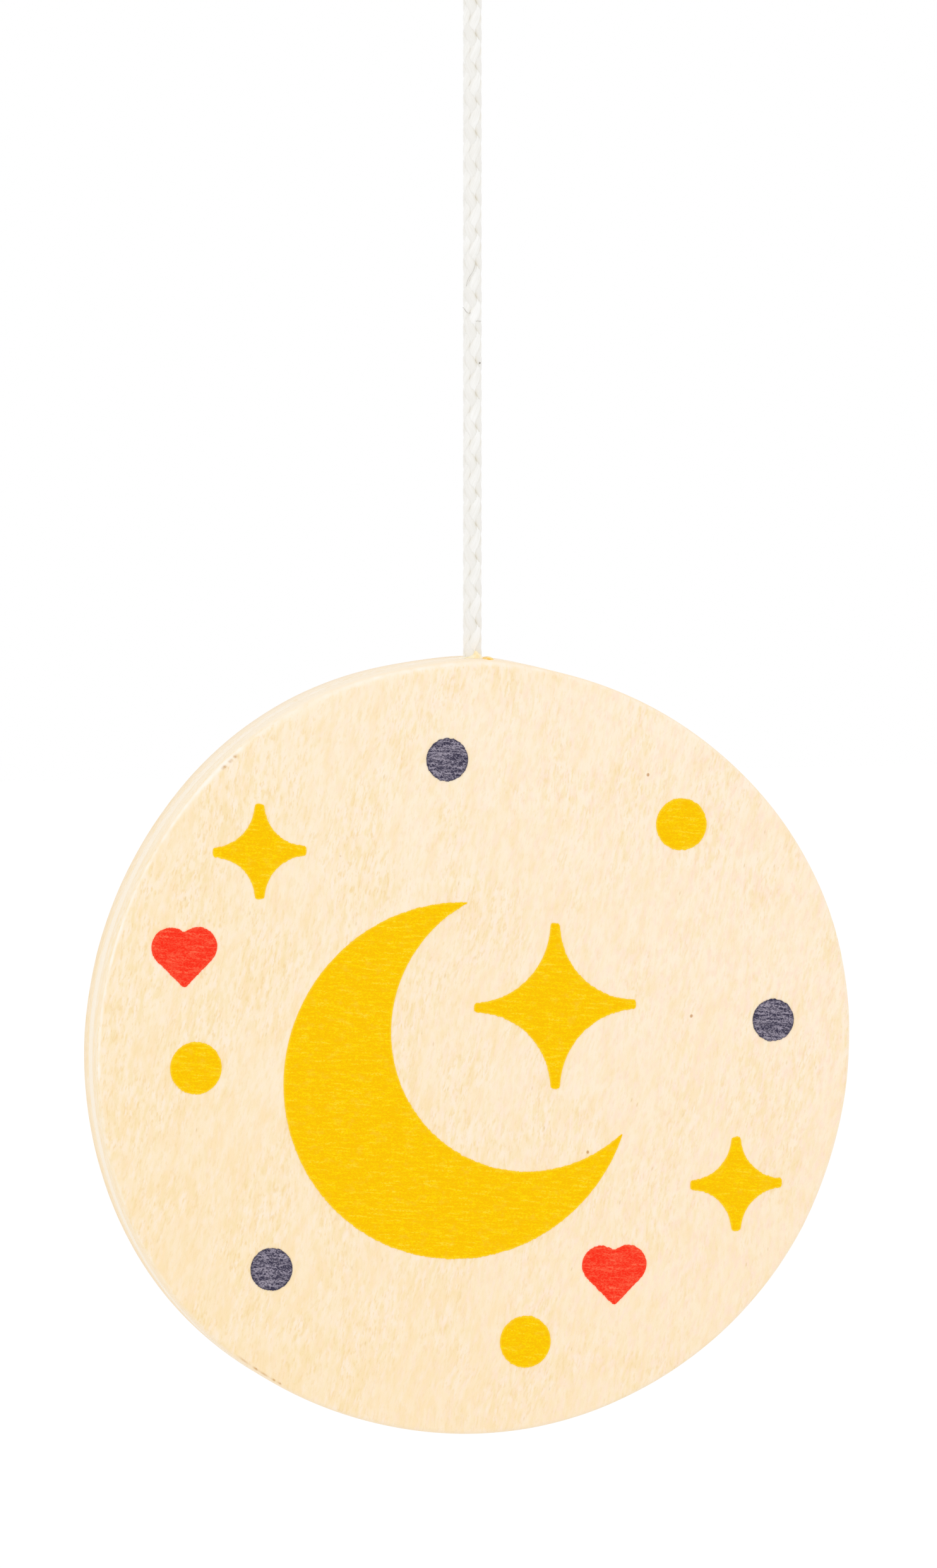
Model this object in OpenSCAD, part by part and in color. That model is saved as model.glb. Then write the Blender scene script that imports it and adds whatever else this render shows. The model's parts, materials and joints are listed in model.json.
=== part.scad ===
// Hanging disc of a baby mobile: a printed plywood disc on a braided cord,
// which is glued into the disc's top edge and looped through a small screw eye.
// The origin is on the screw eye's axis, where its thread meets the underside of the arm.
// The printed face looks along -Y.

/* [Disc] */
// Diameter of the wooden disc
disc_d = 65; // [50:1:90]
// Radius of its sanded edges
edge_r = 0.4; // [0.2:0.1:0.8]
// Thickness of the front ply and of the back ply
face_ply_t = 2.15; // [1.5:0.05:3]
// Thickness of the middle ply
core_ply_t = 1.5; // [1:0.05:3]
// Thickness of the glue line on each side of the middle ply
glue_line_t = 0.1; // [0.05:0.05:0.2]

/* [Cord] */
// Diameter of the braided cord
cord_d = 1.5; // [1.2:0.1:1.6]
// Outer diameter of the knot under the loop
knot_d = 4.6; // [4.2:0.1:6]
// Turns of cord that wrap the knot
knot_turns = 3; // [2:1:4]
// Diameter of the hole drilled into the disc's top edge
hole_d = 2.4; // [2:0.1:3]
// Depth of that hole
hole_depth = 12; // [8:1:20]

/* [Screw eye] */
// Diameter of the eye's wire
wire_d = 1.6; // [1.2:0.1:1.6]
// Inner diameter of the eye
eye_inner_d = 4.8; // [4.2:0.2:8]
// Radius of the bend that leads from the neck into the eye, at the middle of the wire
eye_bend_r = 2; // [1.5:0.1:3]
// Length of the straight neck between that bend and the thread
neck_l = 0.5; // [0.5:0.5:4]
// Outer diameter of the thread
thread_d = 2; // [1.6:0.1:3]
// Length of the thread without its point
thread_l = 8; // [5:1:14]
// Length of the thread's point
point_l = 2; // [1:0.5:3]

/* [Print] */
// Thickness of a printed ink layer
ink_t = 0.05; // [0.03:0.01:0.1]
// Diameter of the crescent moon
moon_d = 30; // [20:1:32]
// Diameter of the circle that hollows the moon out
moon_hollow_d = 24; // [16:1:24]
// Size of the large twinkle, from point to point
large_twinkle_d = 14; // [6:1:15]
// Size of the small twinkles, from point to point
small_twinkle_d = 8; // [4:1:10]
// Width of a twinkle's blunt points
twinkle_point_w = 0.8; // [0.4:0.1:1.2]
// Diameter of the yellow dots
yellow_dot_d = 4.4; // [2:0.2:6]
// Diameter of the navy dots
navy_dot_d = 3.6; // [2:0.2:6]
// Width of the hearts
heart_w = 5.6; // [3:0.2:7]

/* [Hidden] */
$fn = 96;

// Clearances
swing_gap = 0.3; // from the end of a swinging length of cord to the seat it swings in
twist_gap = 0.05; // between the two lengths of cord that twist on each other
glue_gap = 0.01; // from the glue to the walls that it fills
knot_seat = 0.4; // from the knot's underside down to the top of the hanging run

// Screw eye, measured down from the underside of the arm
eye_ring_r = (eye_inner_d + wire_d) / 2;
eye_centres = eye_ring_r + eye_bend_r; // from the eye's centre to the bend's
eye_ring_z = -neck_l - sqrt(eye_centres ^ 2 - eye_bend_r ^ 2);
eye_bend_angle = acos(eye_bend_r / eye_centres);
eye_gap_angle = 50; // from the bend to the wire's free end
bend_swell = 0.02; // the wire is this much thicker in its tight bend
wire_lap = 0.1; // length by which the lengths of wire run into each other
ring_lap_angle = wire_lap / eye_ring_r * 180 / PI;
point_d = 0.4;

// The cord's route, from the centre of the wire that carries it: [across, up] on half the loop, then heights
cord_z = eye_ring_z - eye_ring_r;
cord_sides = 8;
half_loop = [
    [0, 1.9], [1.15, 1.67], [2.12, 1.02], [2.77, 0.05], [3, -1.1], [2.95, -2.3], [2.7, -3.6],
    [2.3, -5], [1.85, -6.4], [1.4, -7.8], [1.05, -9.2], [0.85, -10.6], [0.85, -12]
];
cord_end_route = [[1.6, 0, -12], [1.6, 0, -11], [1.8, 0, -9.8], [2.2, 0, -8.6], [2.8, 0, -7.5]];
run_heights = [-17, -20, -24, -28, -32, -36, -40, -44, -48, -52, -56, -60, -64, -68, -71, -74];
foot_heights = [-76, -78, -80];
loop_end_z = half_loop[len(half_loop) - 1][1];
run_top_z = run_heights[0];
run_end_z = run_heights[len(run_heights) - 1];
exit_z = foot_heights[len(foot_heights) - 1];
loop_route = concat(
    [for (i = [len(half_loop) - 1 : -1 : 1]) [0, -half_loop[i][0], half_loop[i][1]]],
    [for (p = half_loop) [0, p[0], p[1]]]
);
run_route = [for (z = run_heights) [0, 0, z]];
foot_route = concat([[0, 0, run_end_z - twist_gap]], [for (z = foot_heights) [0, 0, z]]);

// Knot: turns of cord stacked between the loop's ends and the hanging run
knot_l = loop_end_z - run_top_z - knot_seat;
knot_turn_d = knot_l / knot_turns;
knot_core_r = knot_d / 2 - knot_turn_d / 4;

// Disc, hung with its top edge at the cord's exit
disc_t = 2 * face_ply_t + 2 * glue_line_t + core_ply_t;
mouth_z = cord_z + exit_z;
disc_z = mouth_z - disc_d / 2;
face_r = disc_d / 2 - edge_r;
tail_top_z = mouth_z - cord_d / 2 - 2 * swing_gap;
tail_bottom_z = mouth_z - hole_depth + cord_d / 2;

// Print: places on the face, as [across, up] shares of its radius
moon_share = [-0.06, -0.08];
moon_hollow_shift = [6.2, 4.2];
large_twinkle_share = [0.2, 0.11];
small_twinkle_shares = [[-0.59, 0.53], [0.69, -0.37]];
yellow_dot_shares = [[0.54, 0.58], [-0.76, -0.03], [0.12, -0.77]];
navy_dot_shares = [[-0.09, 0.76], [0.79, 0.06], [-0.56, -0.56]];
heart_shares = [[0.36, -0.61], [-0.79, 0.25]];

wood_face = "#fdecd0";
wood_core = "#fcf0dd";
wood_glue = "#d9c09a";
clear_glue = "#e8c67a";
cord_white = "#f6f5f0";
brass = "#d8b45c";
ink_yellow = "#ffcc00";
ink_navy = "#464862";
ink_red = "#ff3c23";

function unit(v) = v / norm(v);

function route_direction(route, i) =
    unit(route[min(i + 1, len(route) - 1)] - route[max(i - 1, 0)]);

// A tube of cord along a route that lies in one plane; side is that plane's normal
module cord_tube(route, side) {
    last = len(route) - 1;
    points = [
        for (i = [0 : last])
            let (across = cross(route_direction(route, i), side))
                for (j = [0 : cord_sides - 1])
                    let (a = 360 * j / cord_sides)
                        route[i] + cord_d / 2 * (cos(a) * side + sin(a) * across)
    ];
    start_cap = [[for (j = [0 : cord_sides - 1]) j]];
    end_cap = [[for (j = [cord_sides - 1 : -1 : 0]) last * cord_sides + j]];
    walls = [
        for (i = [0 : last - 1])
            for (j = [0 : cord_sides - 1])
                let (k = (j + 1) % cord_sides)
                    [i * cord_sides + j, (i + 1) * cord_sides + j, (i + 1) * cord_sides + k, i * cord_sides + k]
    ];
    translate([0, 0, cord_z])
        polyhedron(points, concat(start_cap, end_cap, walls));
}

// The ball of room in which the end of a length of cord swings
module swing_room(z) {
    translate([0, 0, z])
        sphere(r = cord_d / 2 + swing_gap);
}

module cord_hole() {
    translate([0, 0, mouth_z - hole_depth])
        cylinder(d = hole_d, h = 2 * hole_depth);
}

// A ply that starts at height zero, square on both edges
module square_ply(thickness) {
    cylinder(d = disc_d, h = thickness);
}

// An outer ply that starts at height zero, with its outer edge sanded round
module sanded_ply() {
    rotate_extrude()
        union() {
            square([disc_d / 2 - edge_r, face_ply_t]);
            square([disc_d / 2, face_ply_t - edge_r]);
            translate([disc_d / 2 - edge_r, face_ply_t - edge_r])
                circle(r = edge_r);
        }
}

// Stands a ply on edge at the given depth, with its height running to the front or to the back
module stand_ply(y, to_front) {
    difference() {
        translate([0, y, disc_z])
            rotate([to_front ? 90 : -90, 0, 0])
                children();
        cord_hole();
    }
}

// One ink layer on the front face, drawn as a flat shape around its place
module print_at(share) {
    translate([share[0] * face_r, -disc_t / 2, disc_z + share[1] * face_r])
        rotate([90, 0, 0])
            linear_extrude(height = ink_t)
                children();
}

module twinkle(size) {
    half = size / 2;
    difference() {
        circle(r = half);
        for (sx = [-1, 1], sy = [-1, 1])
            translate([sx * half, sy * half])
                circle(r = half - twinkle_point_w / 2);
    }
}

module heart() {
    side = heart_w / (1 + sqrt(0.5));
    translate([0, -side * sqrt(0.5)])
        rotate(45)
            union() {
                square(side);
                translate([side / 2, side])
                    circle(d = side);
                translate([side, side / 2])
                    circle(d = side);
            }
}

// An arc of the eye's wire in the plane of the eye, turning left from its start angle
module bent_wire(d, r, start, turn) {
    rotate([90, 0, 0])
        rotate(start)
            rotate_extrude(angle = turn)
                translate([r, 0])
                    circle(d = d);
}

module screw_eye() {
    color(brass)
        union() {
            translate([0, 0, eye_ring_z])
                bent_wire(wire_d, eye_ring_r, eye_bend_angle + eye_gap_angle, 360 - eye_gap_angle + ring_lap_angle);
            translate([eye_bend_r, 0, -neck_l])
                bent_wire(wire_d + bend_swell, eye_bend_r, 180, eye_bend_angle);
            translate([0, 0, -neck_l - wire_lap])
                cylinder(d = wire_d, h = neck_l + 2 * wire_lap);
            cylinder(d = thread_d, h = thread_l);
            translate([0, 0, thread_l])
                cylinder(d1 = thread_d, d2 = point_d, h = point_l);
        }
}

module hanging_loop() {
    color(cord_white)
        cord_tube(loop_route, [1, 0, 0]);
}

module loop_knot() {
    color(cord_white)
        difference() {
            translate([0, 0, cord_z + loop_end_z - knot_l])
                rotate_extrude()
                    union() {
                        square([knot_core_r, knot_l]);
                        for (i = [0 : knot_turns - 1])
                            translate([knot_d / 2 - knot_turn_d / 2, (i + 0.5) * knot_turn_d])
                                circle(d = knot_turn_d);
                    }
            swing_room(cord_z + run_top_z);
        }
}

module cord_end() {
    color(cord_white)
        cord_tube(cord_end_route, [0, 1, 0]);
}

module cord_run() {
    color(cord_white)
        cord_tube(run_route, [1, 0, 0]);
}

module cord_foot() {
    color(cord_white)
        cord_tube(foot_route, [1, 0, 0]);
}

module cord_tail() {
    color(cord_white)
        translate([0, 0, tail_bottom_z])
            cylinder(d = cord_d, h = tail_top_z - tail_bottom_z);
}

module hole_glue() {
    color(clear_glue)
        difference() {
            intersection() {
                translate([0, 0, mouth_z - hole_depth])
                    cylinder(d = hole_d - 2 * glue_gap, h = hole_depth);
                translate([0, 0, disc_z])
                    rotate([90, 0, 0])
                        cylinder(d = disc_d, h = disc_t, center = true);
            }
            swing_room(mouth_z);
            translate([0, 0, tail_bottom_z - glue_gap])
                cylinder(d = cord_d + 2 * glue_gap, h = hole_depth);
        }
}

module front_ply() {
    color(wood_face)
        stand_ply(-core_ply_t / 2 - glue_line_t, true)
            sanded_ply();
}

module front_glue_line() {
    color(wood_glue)
        stand_ply(-core_ply_t / 2, true)
            square_ply(glue_line_t);
}

module core_ply() {
    color(wood_core)
        stand_ply(core_ply_t / 2, true)
            square_ply(core_ply_t);
}

module back_glue_line() {
    color(wood_glue)
        stand_ply(core_ply_t / 2, false)
            square_ply(glue_line_t);
}

module back_ply() {
    color(wood_face)
        stand_ply(core_ply_t / 2 + glue_line_t, false)
            sanded_ply();
}

module moon_print() {
    color(ink_yellow)
        print_at(moon_share)
            difference() {
                circle(d = moon_d);
                translate(moon_hollow_shift)
                    circle(d = moon_hollow_d);
            }
}

module large_twinkle_print() {
    color(ink_yellow)
        print_at(large_twinkle_share)
            twinkle(large_twinkle_d);
}

module small_twinkle_prints() {
    color(ink_yellow)
        for (share = small_twinkle_shares)
            print_at(share)
                twinkle(small_twinkle_d);
}

module yellow_dot_prints() {
    color(ink_yellow)
        for (share = yellow_dot_shares)
            print_at(share)
                circle(d = yellow_dot_d);
}

module navy_dot_prints() {
    color(ink_navy)
        for (share = navy_dot_shares)
            print_at(share)
                circle(d = navy_dot_d);
}

module heart_prints() {
    color(ink_red)
        for (share = heart_shares)
            print_at(share)
                heart();
}

screw_eye();
hanging_loop();
loop_knot();
cord_end();
cord_run();
cord_foot();
cord_tail();
hole_glue();
front_ply();
front_glue_line();
core_ply();
back_glue_line();
back_ply();
moon_print();
large_twinkle_print();
small_twinkle_prints();
yellow_dot_prints();
navy_dot_prints();
heart_prints();
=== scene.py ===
"""The looks of one drop of a baby mobile: a printed plywood disc that hangs on a braided cord."""
import json
import math

import bmesh
import bpy
import numpy as np
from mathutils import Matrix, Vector, noise


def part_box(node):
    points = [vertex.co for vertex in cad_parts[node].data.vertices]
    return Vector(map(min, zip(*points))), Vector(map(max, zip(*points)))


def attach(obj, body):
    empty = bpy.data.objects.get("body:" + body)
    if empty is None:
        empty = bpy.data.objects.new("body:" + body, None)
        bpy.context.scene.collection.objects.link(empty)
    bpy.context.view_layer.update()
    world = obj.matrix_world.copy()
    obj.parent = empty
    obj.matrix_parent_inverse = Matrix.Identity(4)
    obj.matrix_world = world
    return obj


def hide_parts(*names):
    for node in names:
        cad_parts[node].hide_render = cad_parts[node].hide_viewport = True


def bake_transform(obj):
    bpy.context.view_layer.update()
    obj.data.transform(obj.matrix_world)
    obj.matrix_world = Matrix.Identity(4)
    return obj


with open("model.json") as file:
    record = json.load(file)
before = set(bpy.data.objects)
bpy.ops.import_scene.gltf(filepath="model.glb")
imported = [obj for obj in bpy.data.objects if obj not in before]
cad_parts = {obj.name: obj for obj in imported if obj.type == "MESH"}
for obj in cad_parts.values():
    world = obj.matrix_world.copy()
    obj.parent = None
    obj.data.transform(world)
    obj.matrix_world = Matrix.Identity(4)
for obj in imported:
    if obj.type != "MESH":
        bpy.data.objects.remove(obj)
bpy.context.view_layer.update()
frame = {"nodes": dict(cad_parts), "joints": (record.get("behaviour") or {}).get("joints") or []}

MM = 0.001
PER_MM = 1 / MM

# Heights of the joints, from the frame
HEIGHT = {joint["name"]: joint["pos_m"][2] for joint in frame["joints"]}
WIRE_Z = HEIGHT["loop_swing"]  # middle of the wire that carries the loop
RUN_TOP_Z = HEIGHT["cord_swing"]  # where the cord leaves its knot
TWIST_Z = HEIGHT["cord_twist"]
MOUTH_Z = HEIGHT["disc_rock"]  # mouth of the hole in the disc's top edge

# Camera and stage
CAMERA_AZIMUTH = math.radians(-13.6)
CAMERA_ELEVATION = math.radians(4.3)
CAMERA_DISTANCE = 0.9
SEEN_HEIGHT = 131.45 * MM  # height of the picture at the disc
AIM_ABOVE_DISC = 22.1 * MM
AIM_ASIDE = -0.33 * MM
FLOOR_BELOW_DISC = 0.25
FLOOR_HALF = 4.0
SKY_LEVEL = 0.926  # light of the white room on the part, where 1 is white
LAMPS = {  # place from the disc's middle, and light on what faces the lamp, where a white room gives 1
    "key": (Vector((0.8, -0.8, 0.6)), 0.07),
    "fill": (Vector((-1.0, -0.6, 0.35)), 0.08),
}
LAMP_SIZE = 0.5
FLOOR_SHADE = 0.93
FLOOR_FADE = (0.4, 1.6)  # distances from the part between which the floor fades into the background
FLOOR_GLOW = (0.11, 0.155)  # white that the camera sees added to the floor, near the part and far from it

# Disc
DISC_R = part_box("core_ply")[1].x
DISC_Z = MOUTH_Z - DISC_R
FACE_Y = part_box("front_ply")[0].y
ACROSS_DISC = (-DISC_R * PER_MM, DISC_R * PER_MM)  # left and right end of the disc, in millimetres
SEGMENTS = 1024
FACE_RINGS = (0.25, 0.5, 0.75, 0.93)  # rings that divide a flat face, as shares of its radius
OUTLINE_LOBES = (  # how the hand-sanded outline leaves the circle: lobes, height, angle of a crest
    (1, 0.41 * MM, math.radians(180)),
    (3, 0.13 * MM, math.radians(-4.5)),
    (4, 0.135 * MM, math.radians(31.5)),
    (7, 0.038 * MM, math.radians(17)),
)
CROWN = (math.radians(89), math.radians(5))  # a rise at the top: angle and half width
CROWN_RISE = 0.3 * MM
SLOW_WAVES = 7  # how often a value wanders round the disc
QUICK_WAVES = 50
EDGE_R = 0.4 * MM  # rounding of the sanded edges
EDGE_STEPS = 9
EDGE_UNEVEN = 0.3  # how much the rounding wanders, as a share
FRONT_SEED = 1.5
BACK_SEED = 6.5
SOFT_EDGE = (math.radians(112), math.radians(18))  # where the disc is sanded more and its rim gets more painted light: angle and half width
SOFT_ROUNDER = 1.0  # how much larger the front edge's rounding is there, as a share
SOFT_PALER = 1.7  # how much more painted light makes the rim paler there, as a share
GROOVE = 0.006 * MM  # the rim is this much lower beside a glue line
GROOVE_SLOPE = 4 * GROOVE
RIM_PAINTED_LIGHT = 0.18  # painted light that makes the sanded rim paler, where the edge's painted highlight is 1
HIGHLIGHT_AT = math.radians(140)  # the side where the edges get the brightest painted highlight
HIGHLIGHT_FOCUS = 2
HIGHLIGHT_MEAN = 0.7
HIGHLIGHT_VARIES = 0.6
HIGHLIGHT_SEEDS = (11.5, 15.5)
HIGHLIGHT_LINE = 4  # how closely the painted highlight keeps to the middle of an edge's rounding
NICKS = (  # dark dents in the front edge: degrees, half length in millimetres, darkness
    (130, 0.12, 0.95), (131, 0.15, 0.7), (132.3, 0.15, 1), (231.5, 0.5, 0.5),
    (233.7, 0.2, 1), (235.2, 0.4, 0.6), (236.9, 0.15, 1), (237.9, 0.12, 1),
)
NICK_DEPTH = 0.04 * MM
NICK_LINE = (0.45, 0.2)  # place and half width of a dent on the edge's rounding, in radians
BACK_EDGE_SHADE = 0.14  # painted shade on the back edge's rounding, which also sinks it a little, where a dent is 1
GRAIN_LEAN = math.radians(12)
GRAIN_WANDER = (0.09, 1.4)  # bends of the grain: how many to a millimetre, and their reach in millimetres
HOLE_R = 1.2 * MM
HOLE_SIDES = 48

# Glue at the cord's foot
GLUE_SIDES = 48
GLUE_GAP = 0.01 * MM
GLUE_BITE = 0.06 * MM  # how far the glue reaches into what it sticks to
GLUE_LOW = 0.08 * MM  # how far it climbs the cord all round
HUMP_ANGLE = math.radians(-68)
HUMP_HEIGHT = 0.72 * MM
HUMP_FOCUS = 5
FILLET_STEPS = 12
FILLET_CURVE = 3
DROP_PLACE = (0.95 * MM, -1.6 * MM)
DROP_SIZE = (0.36 * MM, 0.9 * MM, 0.24 * MM)
DROP_LOBES = ((2, 0.18, 0.6), (3, 0.08, 0))  # how the drop leaves an oval: lobes, height, shift

# Print
RAG_STEP = 0.06 * MM  # distance between the points of a print's edge
RAG_REACH = 0.06 * MM  # how far ink creeps along the grain
RAG_SIZE = 0.11 * MM
ROUNDING = 22  # passes that round the corners of a print
INK_EDGE = 0.16 * MM  # width of the edge where the ink is thinner or thicker
WELD = 1e-7  # points of a print closer than this are one
FRONT_FACING = -0.5  # a face whose normal has a lower y looks to the front
PRINT_LEAN = math.radians(-4.5)  # lean of the rows that the ink lies in

# Cord
CORD_D = 1.5 * MM
CORD_R = CORD_D / 2
YARN_R = 0.805 * MM  # the loose yarn stands a little proud of the cord's nominal size
BRAID_PITCH = 10.9 * MM
BRAID_STEP = 0.2 * MM
BRAID_RELIEF = 0.048 * MM
BRAID_TURN = math.radians(-13)
BRAID_START = 0.85 * MM  # length of braid before the top of the hanging run
STRANDS_EACH_WAY = 4
STRAND_W = 0.88 * MM
STRAND_T = 0.3 * MM
STRAND_SIDES = 12
BRAID_R = YARN_R - BRAID_RELIEF - STRAND_T / 2
BRAID_LEAN = math.atan(2 * math.pi * BRAID_R / BRAID_PITCH)
STRAND_SHIFT = 9.0  # sets the strands that turn one way apart in the yarn's pattern
HAND_SHIFT = 40.0  # sets the strands that turn to the left and right apart in it, and gives one of them the painted sheen
SEAM_SHADE_FOCUS = 6  # how closely the painted shade of a seam keeps to the sides of a strand
FILLER_R = 0.65 * MM
FILLER_SIDES = 16
FILLER_STEP = 4  # the filler has one ring for this many rings of the strands
BLUNT = 0.05  # a round end stops this share of the cord's radius before its tip
# Route of the cord in millimetres from the middle of the wire that carries it
HALF_LOOP = (  # across and up
    (0, 1.9), (1.15, 1.67), (2.12, 1.02), (2.77, 0.05), (3, -1.1), (2.95, -2.3), (2.7, -3.6),
    (2.3, -5), (1.85, -6.4), (1.4, -7.8), (1.05, -9.2), (0.85, -10.6), (0.85, -12),
)
END_TUCK = (0.7, 0, -13.5)
END_ROUTE = ((1.6, 0, -12), (1.6, 0, -11), (1.8, 0, -9.8), (2.2, 0, -8.6), (2.8, 0, -7.5))
TUCK = 1.3 * MM  # length of the loop's legs inside the knot
RUN_STUB = 0.7 * MM  # rounded top of the hanging run, inside the knot
KNOT_TURNS = 2.02
KNOT_TUCK_TURNS = 0.3
KNOT_TUCK = 0.8 * MM  # how far the knot's ends turn in
KNOT_SINK = 0.7  # how far they go towards the knot's middle height, as a share
KNOT_POINTS = 90
TIP_R = 0.76 * MM
TIP_HEIGHT = 0.5 * MM
TIP_SINK = 0.1 * MM
TIP_STEPS = 8
TIP_SIDES = 24
TIP_LOBES = 3
TIP_UNEVEN = 0.06
LINT_POINTS = 9
LINT_SIDES = 6
LINT = (  # dust on the cord: millimetres above the disc and degrees round it, for both ends, bow, thickness
    (31.3, -144, 33.2, -84, 0.15, 0.02),
    (29.5, -190, 29.1, -112, 0.12, 0.025),
    (28.4, -82, 28.4, -36, 0.03, 0.02),
    (24.85, -57, 24.95, -52, 0.0, 0.11),
)

# Screw eye
WIRE_R = 0.8 * MM
EYE_R = 3.2 * MM
BEND_R = 2 * MM
NECK_L = 0.5 * MM
EYE_GAP = math.radians(50)  # opening of the eye
THREAD_R = 1 * MM
THREAD_ROOT_R = 0.72 * MM
THREAD_L = 8 * MM
POINT_L = 2 * MM
POINT_R = 0.2 * MM
THREAD_PITCH = 0.9 * MM
THREAD_STEP = 0.06 * MM
THREAD_RIDGE = (1.25, 1.6)  # height of the ridge's middle before its top is cut flat at 1, and its slope
CREST_TAPER = 0.8
EYE_SIDES = 48
EYE_STEP = 0.15 * MM
CUT_EASE = 0.12 * MM  # rounding of the wire's cut end


# Building blocks

SHARP = math.radians(75)
CURVE_STEPS = 24


def srgb(red, green, blue):
    """A colour written as display values from 0 to 255, as the linear colour that a shader takes."""
    shares = [value / 255 for value in (red, green, blue)]
    linear = [s / 12.92 if s <= 0.04045 else ((s + 0.055) / 1.055) ** 2.4 for s in shares]
    return (*linear, 1.0)


def smooth_step(value):
    """0 below 0, 1 above 1, and a soft rise between."""
    share = np.clip(value, 0, 1)
    return share * share * (3 - 2 * share)


def full_turn(count):
    """Angles that divide a full turn evenly."""
    return np.arange(count) * 2 * math.pi / count


def add_piece(name, points, faces, *materials):
    """A mesh piece with faces that look outwards, smooth apart from its sharp edges."""
    mesh = bpy.data.meshes.new(name)
    mesh.from_pydata([tuple(p) for p in points], [], faces)
    work = bmesh.new()
    work.from_mesh(mesh)
    bmesh.ops.recalc_face_normals(work, faces=work.faces)
    work.to_mesh(mesh)
    work.free()
    piece = bpy.data.objects.new(name, mesh)
    bpy.context.scene.collection.objects.link(piece)
    for material in materials:
        mesh.materials.append(material)
    shade(piece)
    return piece


def shade(piece):
    piece.data.shade_smooth()
    piece.data.set_sharp_from_angle(angle=SHARP)


def set_values(piece, name, values):
    """A number or a vector for each of the piece's points, for its material to read."""
    values = np.asarray(values, np.float32)
    kind, key = ("FLOAT", "value") if values.ndim == 1 else ("FLOAT_VECTOR", "vector")
    layer = piece.data.attributes.new(name, kind, "POINT")
    layer.data.foreach_set(key, values.ravel())


def merge(parts):
    """Several (points, faces) as one."""
    points, faces, count = [], [], 0
    for part_points, part_faces in parts:
        points.append(np.asarray(part_points, float))
        faces += [[i + count for i in face] for face in part_faces]
        count += len(part_points)
    return np.concatenate(points), faces


def wall_faces(rows, sides):
    """Faces of an open tube whose points come ring by ring."""
    return [
        [r * sides + s, (r + 1) * sides + s, (r + 1) * sides + (s + 1) % sides, r * sides + (s + 1) % sides]
        for r in range(rows - 1)
        for s in range(sides)
    ]


def tube_faces(rows, sides):
    """Faces of the same tube, closed at both ends."""
    caps = [list(range(sides)), list(range((rows - 1) * sides, rows * sides))]
    return wall_faces(rows, sides) + caps


def unit(vectors):
    return vectors / np.linalg.norm(vectors, axis=-1, keepdims=True)


def smooth_line(points, step):
    """Evenly spaced points on a smooth curve through the given ones."""
    points = np.asarray(points, float)
    padded = np.vstack([2 * points[0] - points[1], points, 2 * points[-1] - points[-2]])
    share = np.linspace(0, 1, CURVE_STEPS, endpoint=False)[:, None]
    dense = []
    for a, b, c, d in zip(padded, padded[1:], padded[2:], padded[3:]):
        bend = (2 * a - 5 * b + 4 * c - d) * share ** 2 + (3 * b - a - 3 * c + d) * share ** 3
        dense.append(b + ((c - a) * share + bend) / 2)
    dense = np.vstack([*dense, points[-1:]])
    run = np.concatenate([[0], np.cumsum(np.linalg.norm(np.diff(dense, axis=0), axis=1))])
    places = np.linspace(0, run[-1], max(2, round(run[-1] / step) + 1))
    return np.stack([np.interp(places, run, dense[:, k]) for k in range(3)], 1)


def moving_axes(line, side):
    """Directions ahead, to the side and up at each point of a line, without twist along it."""
    ahead = unit(np.gradient(line, axis=0))
    sides = []
    side = np.asarray(side, float)
    for direction in ahead:
        side = unit(side - direction * (side @ direction))
        sides.append(side)
    sides = np.array(sides)
    return ahead, sides, np.cross(ahead, sides)


def sweep(line, side, radius, sides):
    """A closed round tube along a line. The radius is a number, or a row for each point of the line."""
    _, left, up = moving_axes(line, side)
    angle = full_turn(sides)[None, :, None]
    ring = np.cos(angle) * left[:, None] + np.sin(angle) * up[:, None]
    radius = np.broadcast_to(np.asarray(radius, float), (len(line), sides))
    points = line[:, None] + radius[:, :, None] * ring
    return points.reshape(-1, 3), tube_faces(len(line), sides)


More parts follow.
